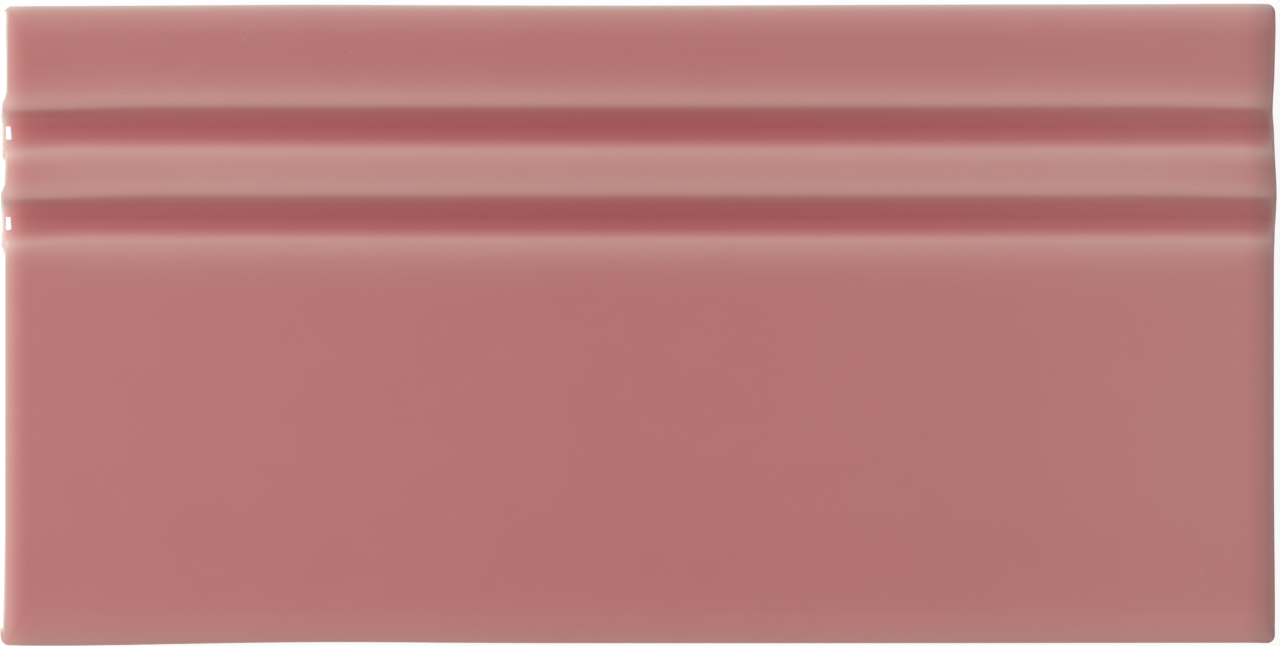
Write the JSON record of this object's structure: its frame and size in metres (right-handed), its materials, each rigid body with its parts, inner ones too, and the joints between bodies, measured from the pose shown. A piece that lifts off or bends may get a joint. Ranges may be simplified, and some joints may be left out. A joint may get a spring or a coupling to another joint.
{
  "type": "ceramic skirting tile",
  "caption": "Glazed ceramic skirting tile, a long rectangular wall-base tile with a coved moulding near its top edge and a keyed back",
  "frame": {"origin": "middle of the tile's back, on the plane it is stored on", "axes": "+X along the tile's length, +Y up the wall towards the moulded top edge, +Z out of the wall through the glazed face"},
  "size_m": [0.198, 0.099, 0.0103],
  "materials": {
    "dark_rose_glaze": "gloss"
  },
  "bodies": {
    "root": {"skirting_tile": "dark_rose_glaze"}
  },
  "joints": []
}
